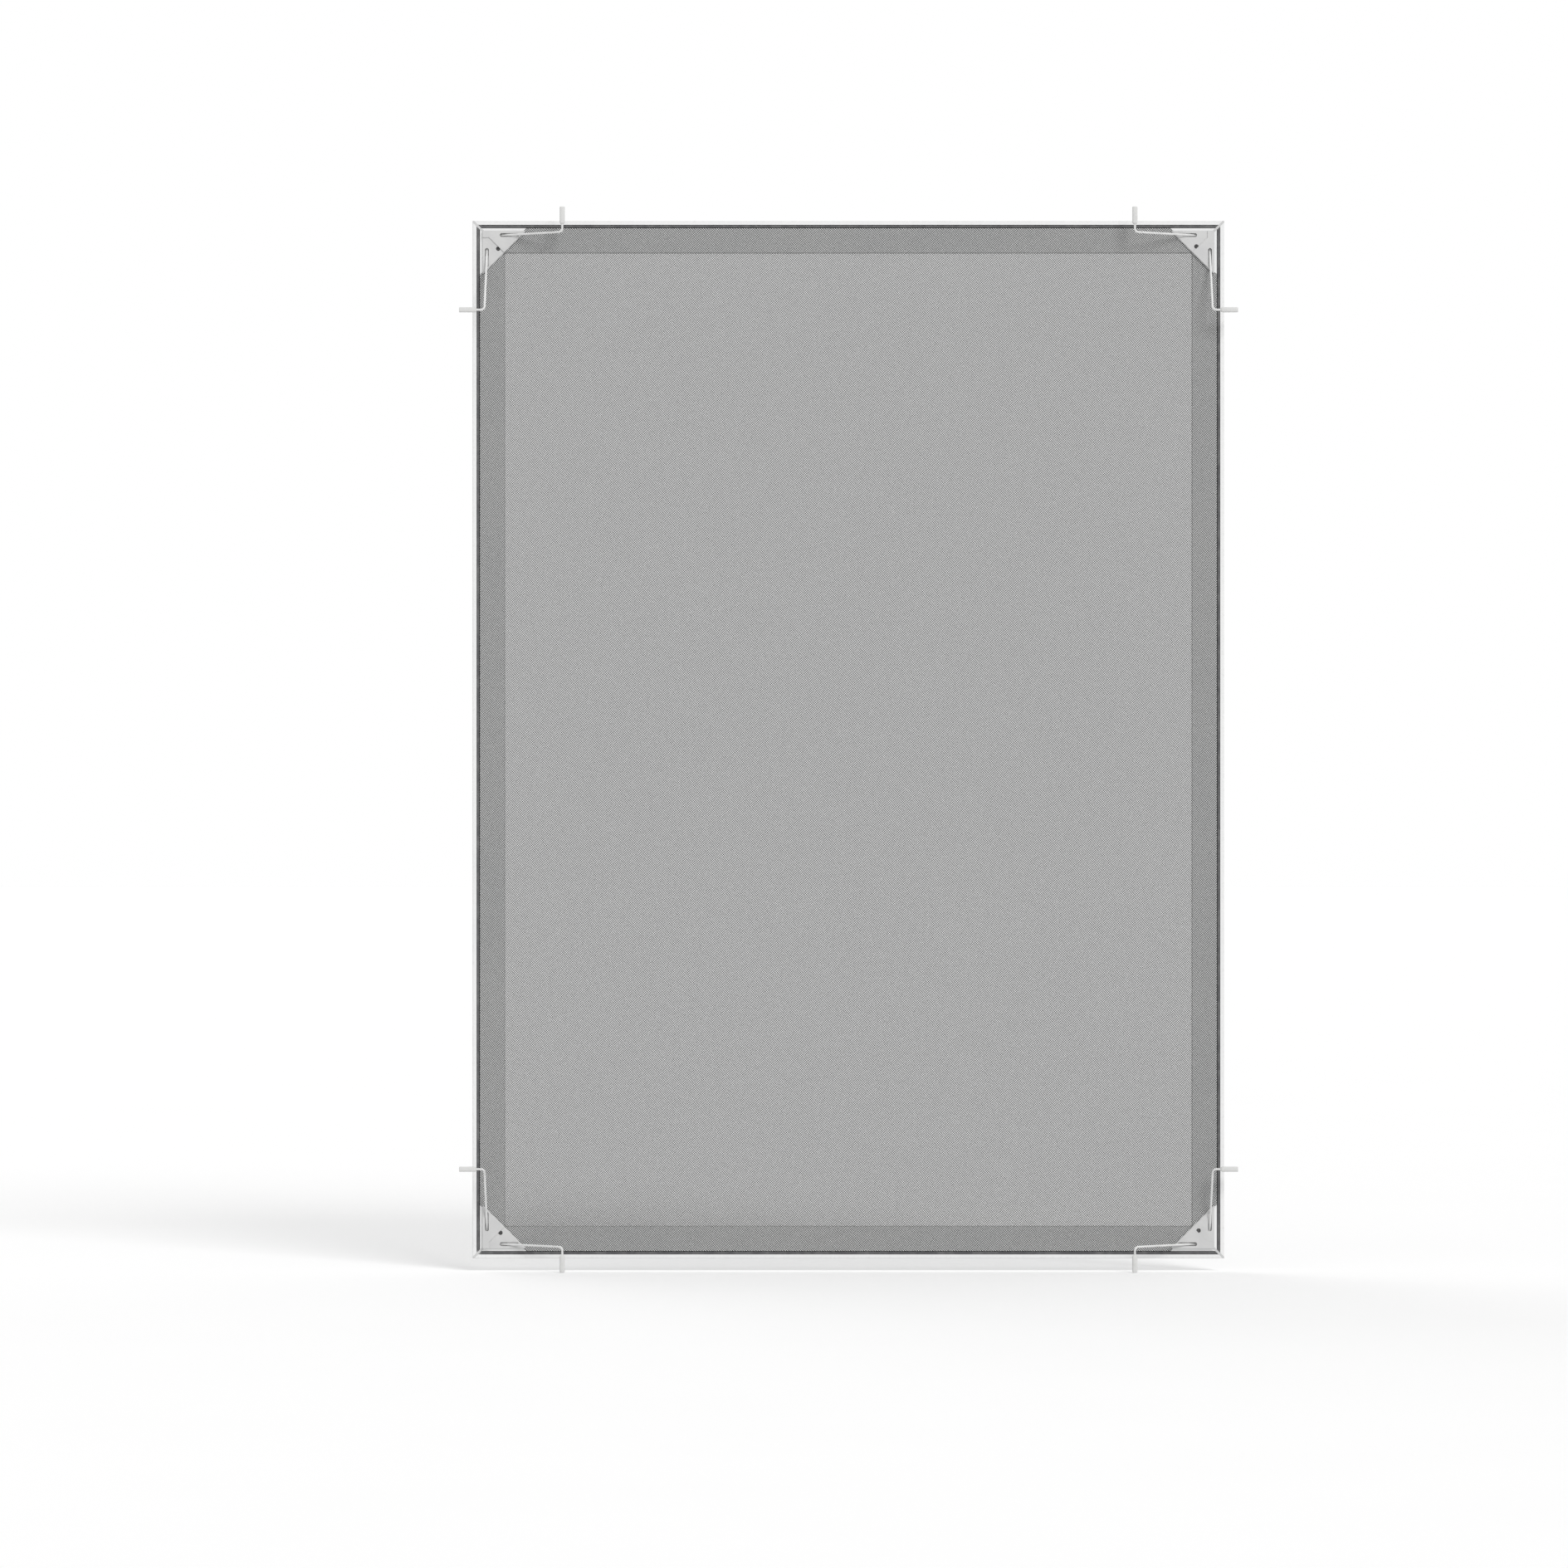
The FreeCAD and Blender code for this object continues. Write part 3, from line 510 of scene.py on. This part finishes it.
wire_finish, sheet, shader = new_finish("coated_spring_wire", {"Coat Roughness": 0.15, "IOR": 1.5})
place = sheet.place()
rubbed = sheet.noise(place, RUBBED_SPOT_SIZE, detail=5, roughness=0.6)
runs = sheet.noise(place, COAT_RUN_SIZE)
sheet.plug(sheet.blend(rubbed.rise(0.4, 0.8), WIRE_WHITE, WIRE_DULL), shader["Base Color"])
sheet.plug(WIRE_ROUGHNESS + rubbed * 0.2, shader["Roughness"])
sheet.plug(WIRE_COAT - rubbed * 0.4, shader["Coat Weight"])
sheet.plug(sheet.relief(runs, COAT_RUN_HEIGHT), shader["Normal"])

wires, size = new_geometry_sheet("bent_wire", {
    "Foot": "Vector", "Neck": "Vector", "End": "Vector", "Bend Radius": "Float", "Diameter": "Float"})
line = wires.node("GeometryNodeMeshLine", {}, {"Count": 3})
index = wires.node("GeometryNodeInputIndex")
is_foot = index.through("LESS_THAN", 0.5)
is_end = index.through("GREATER_THAN", 1.5)
is_neck = 1 - is_foot - is_end
turning_points = size["Foot"] * is_foot + size["Neck"] * is_neck + size["End"] * is_end
placed = wires.node("GeometryNodeSetPosition", {}, {"Geometry": line, "Position": turning_points})
route = wires.node("GeometryNodeMeshToCurve", {}, {0: placed})
bent = wires.node("GeometryNodeFilletCurve", {"mode": "POLY"}, {
    "Curve": route, "Count": NECK_STEPS, "Radius": size["Bend Radius"]})
section = wires.node("GeometryNodeCurvePrimitiveCircle", {}, {
    "Resolution": WIRE_SIDES, "Radius": size["Diameter"] / 2})
drawn = wires.node("GeometryNodeCurveToMesh", {}, {
    "Curve": bent, "Profile Curve": section, "Fill Caps": True})
end_geometry(wires, drawn, wire_finish)


def make_wire(corner, bar, quarter, mirrored, corner_x, corner_z):
    """One hook's wire, drawn beside the top left corner's own bar and turned to its corner."""
    turn = Matrix.Rotation(math.radians(90 * quarter), 3, "Y")

    def spot(along, inward, depth):
        flat = Vector((inward, depth, -along)) if mirrored else Vector((along, depth, -inward))
        return turn @ flat + Vector((corner_x, 0, corner_z))

    slope = GRIP_MIDDLE / (HOOK_REACH - ARM_START)
    lean = ARM_DRIFT / (HOOK_REACH - ARM_START)
    piece = grow(f"wire_{corner}_on_{bar}", wires, {
        "Foot": spot(ARM_START - FOOT_RUN, SLOT_LINE + FOOT_RUN * lean, FOOT_RUN * slope),
        "Neck": spot(HOOK_REACH, SLOT_LINE - ARM_DRIFT, -GRIP_MIDDLE),
        "End": spot(HOOK_REACH, -GRIP_END, -GRIP_MIDDLE),
        "Bend Radius": NECK_RADIUS,
        "Diameter": WIRE_DIAMETER,
    })
    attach(piece, "root")
    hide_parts(f"hook_{corner}_on_{bar}")


for quarter, (corner, (own_bar, other_bar)) in enumerate(CORNERS.items()):
    corner_x = FRAME_WIDTH / 2 * (1 if "right" in corner else -1)
    corner_z = FRAME_MIDDLE[2] + FRAME_HEIGHT / 2 * (1 if "top" in corner else -1)
    make_wire(corner, own_bar, quarter, False, corner_x, corner_z)
    make_wire(corner, other_bar, quarter, True, corner_x, corner_z)


# Grip sleeves. Soft white vinyl, moulded in two halves and pushed over the end of each wire so that
# the hook holds without scratching. The neck end tapers to the wire, a faint parting line runs
# round the middle, and pressing has left them a little grubby.

GRIP_WHITE = (0.72, 0.72, 0.71, 1)
GRIP_GRUBBY = (0.58, 0.575, 0.56, 1)
GRIP_ROUGHNESS = 0.45
GRIP_SQUARENESS = 3.4
GRIP_RING_POINTS = 32
GRIP_STATIONS = (  # each ring's distance from the neck end, and its share of the full width
    (0, 0.56), (0.0002, 0.64), (0.0010, 0.86), (0.0016, 0.96), (0.0022, 1),
    (0.0181, 1), (0.0185, 0.98), (0.0188, 0.92), (0.0189, 0.82),
)
PARTING_LINE_WIDTH = 0.00012
PRESSED_SPOT_SIZE = 0.004
SKIN_GRAIN_SIZE = 0.0006
GRIP_RELIEF = 0.00008
BACKWARDS = Vector((0, 1, 0))
OUTWARDS = {
    "top": Vector((0, 0, 1)), "bottom": Vector((0, 0, -1)),
    "left": Vector((-1, 0, 0)), "right": Vector((1, 0, 0)),
}

grip_finish, sheet, shader = new_finish("soft_vinyl_sleeve", {"IOR": 1.48})
place = sheet.place()
y = sheet.parts(place, "Y")[0]
pressed = sheet.noise(place, PRESSED_SPOT_SIZE, detail=4, roughness=0.6)
skin = sheet.noise(place, SKIN_GRAIN_SIZE, detail=3)
parting = 1 - abs(y + GRIP_MIDDLE).rise(0, PARTING_LINE_WIDTH)
grubby = pressed.rise(0.5, 0.85) * 0.6 + parting * 0.4
sheet.plug(sheet.blend(grubby, GRIP_WHITE, GRIP_GRUBBY), shader["Base Color"])
sheet.plug(GRIP_ROUGHNESS + pressed * 0.2, shader["Roughness"])
sheet.plug(sheet.relief(pressed * 2 + skin * 0.3 + parting * 0.5, GRIP_RELIEF), shader["Normal"])


def make_grip(corner, bar):
    """A smooth sleeve in the place of one grip, from its neck end to its tip."""
    low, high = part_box(f"grip_{corner}_on_{bar}")
    middle = (low + high) / 2
    outwards = OUTWARDS[bar]
    across = BACKWARDS.cross(outwards)
    half_length = abs((high - low).dot(outwards)) / 2
    half_width = abs((high - low).dot(across)) / 2
    half_height = (high.y - low.y) / 2
    corners = []
    for distance, fullness in GRIP_STATIONS:
        for point in range(GRIP_RING_POINTS):
            turn = math.tau * point / GRIP_RING_POINTS
            sideways = math.copysign(abs(math.cos(turn)) ** (2 / GRIP_SQUARENESS), math.cos(turn))
            back = math.copysign(abs(math.sin(turn)) ** (2 / GRIP_SQUARENESS), math.sin(turn))
            corners.append(middle + outwards * (distance - half_length)
                           + across * sideways * half_width * fullness
                           + BACKWARDS * back * half_height * fullness)
    faces = [list(reversed(range(GRIP_RING_POINTS)))]
    for ring in range(len(GRIP_STATIONS) - 1):
        for point in range(GRIP_RING_POINTS):
            here = ring * GRIP_RING_POINTS + point
            beside = ring * GRIP_RING_POINTS + (point + 1) % GRIP_RING_POINTS
            faces.append([here, beside, beside + GRIP_RING_POINTS, here + GRIP_RING_POINTS])
    faces.append([len(corners) - GRIP_RING_POINTS + point for point in range(GRIP_RING_POINTS)])
    mesh = bpy.data.meshes.new(f"sleeve_{corner}_on_{bar}")
    mesh.from_pydata(corners, [], faces)
    mesh.materials.append(grip_finish)
    for face in mesh.polygons:
        face.use_smooth = len(face.vertices) == 4
    piece = bpy.data.objects.new(mesh.name, mesh)
    bpy.context.scene.collection.objects.link(piece)
    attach(piece, "root")
    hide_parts(f"grip_{corner}_on_{bar}")


for corner, bars in CORNERS.items():
    for bar in bars:
        make_grip(corner, bar)


# Floor. A wide pale floor just under the lowest grips. It looks white to the camera, and still
# takes the screen's shadow.

FLOOR_WHITE = (0.88, 0.88, 0.88, 1)
FLOOR_MOTTLE = (0.86, 0.86, 0.86, 1)
FLOOR_MOTTLE_SIZE = 0.3
FLOOR_GLOW = 0.23
FLOOR_SIZE = 60
FLOOR_GAP = 0.0005


def whiten(sheet):
    """1 where the camera, a reflection or clear glass looks at a surface, and 0 for its light."""
    ray = sheet.node("ShaderNodeLightPath")
    seen = ray.output("Is Camera Ray") + ray.output("Is Glossy Ray") + ray.output("Is Transmission Ray")
    return seen.through("MINIMUM", 1)


floor_finish, sheet, shader = new_finish("pale_floor", {"Roughness": 0.9, "Specular IOR Level": 0.1})
mottle = sheet.noise(sheet.place(), FLOOR_MOTTLE_SIZE, detail=4)
sheet.plug(sheet.blend(mottle, FLOOR_WHITE, FLOOR_MOTTLE), shader["Base Color"])
shader["Emission Strength"].default_value = FLOOR_GLOW
sheet.plug(sheet.blend(whiten(sheet), (0, 0, 0, 1), (1, 1, 1, 1)), shader["Emission Color"])
bpy.ops.mesh.primitive_plane_add(size=FLOOR_SIZE, location=(0, 0, cad_bounds[0].z - FLOOR_GAP))
floor = bpy.context.active_object
floor.name = "floor"
floor.data.materials.append(floor_finish)


# Light. A broad soft key from the upper right in front, a weak fill from the upper left behind,
# and an even white surround.

SURROUND_STRENGTH = 0.5

world = bpy.data.worlds.new("surround")
bpy.context.scene.world = world
world.use_nodes = True
sheet = NodeSheet(world.node_tree)
strength = SURROUND_STRENGTH + whiten(sheet) * (1 - SURROUND_STRENGTH)
background = world.node_tree.nodes["Background"]
background.inputs["Color"].default_value = (1, 1, 1, 1)
sheet.plug(strength, background.inputs["Strength"])


def add_lamp(name, strength, spread, towards):
    """A far lamp that stands towards one direction, its light spread over an angle in degrees."""
    lamp = bpy.data.objects.new(name, bpy.data.lights.new(name, "SUN"))
    lamp.data.energy = strength
    lamp.data.angle = math.radians(spread)
    lamp.rotation_mode = "QUATERNION"
    lamp.rotation_quaternion = Vector(towards).to_track_quat("Z", "Y")
    bpy.context.scene.collection.objects.link(lamp)


add_lamp("key", strength=1.5, spread=25, towards=(0.38, -0.70, 0.60))
add_lamp("back_fill", strength=0.5, spread=40, towards=(-0.5, 0.7, 0.5))


# Camera. Level and square to the screen, a little left of it, as in the photograph.

CAMERA_PLACE = (-0.0698, -8.0, 0.5124)
PICTURE_WIDTH = 1.7001
SENSOR_WIDTH = 36  # in millimetres, as Blender has it
FARTHEST_SEEN = 100

camera = bpy.data.objects.new("camera", bpy.data.cameras.new("camera"))
bpy.context.scene.collection.objects.link(camera)
camera.location = CAMERA_PLACE
camera.rotation_euler = (math.radians(90), 0, 0)
camera.data.sensor_width = SENSOR_WIDTH
camera.data.lens = SENSOR_WIDTH * -CAMERA_PLACE[1] / PICTURE_WIDTH
camera.data.clip_end = FARTHEST_SEEN
bpy.context.scene.camera = camera
bpy.context.scene.view_settings.view_transform = "Standard"
